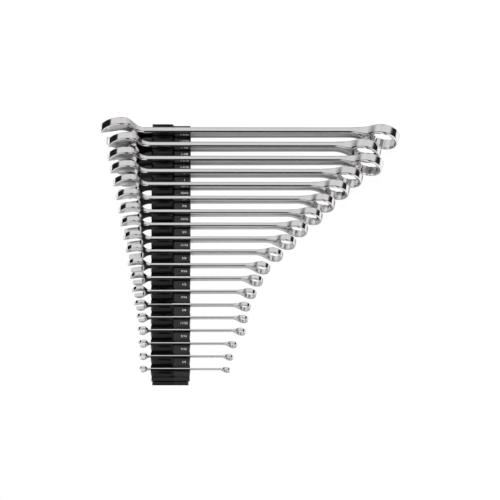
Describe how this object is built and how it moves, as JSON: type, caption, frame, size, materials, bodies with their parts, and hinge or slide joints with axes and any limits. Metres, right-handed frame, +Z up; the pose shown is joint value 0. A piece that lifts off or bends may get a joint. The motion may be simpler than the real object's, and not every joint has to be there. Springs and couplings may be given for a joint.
{
  "type": "combination wrench set with organizer",
  "caption": "Polished combination wrenches, open jaw at one end and twelve-point box at the other, standing on edge in the slots of a black moulded rack.",
  "frame": {"origin": "middle of the rack's foot on the bench", "axes": "+X along the wrenches from the open ends to the box ends, +Y along the rack toward the largest wrench, +Z up"},
  "size_m": [0.4156, 0.3962, 0.0753],
  "materials": {
    "polished_steel": "polished",
    "black_plastic": "satin"
  },
  "bodies": {
    "root": {"organizer_rack": "black_plastic", "wrench_1_1_4": "polished_steel", "wrench_1_3_16": "polished_steel", "wrench_1_1_8": "polished_steel", "wrench_1_1_16": "polished_steel", "wrench_1": "polished_steel", "wrench_15_16": "polished_steel", "wrench_7_8": "polished_steel", "wrench_13_16": "polished_steel", "wrench_3_4": "polished_steel", "wrench_11_16": "polished_steel", "wrench_5_8": "polished_steel", "wrench_9_16": "polished_steel", "wrench_1_2": "polished_steel", "wrench_7_16": "polished_steel", "wrench_3_8": "polished_steel", "wrench_11_32": "polished_steel", "wrench_5_16": "polished_steel", "wrench_9_32": "polished_steel", "wrench_1_4": "polished_steel"}
  },
  "joints": []
}
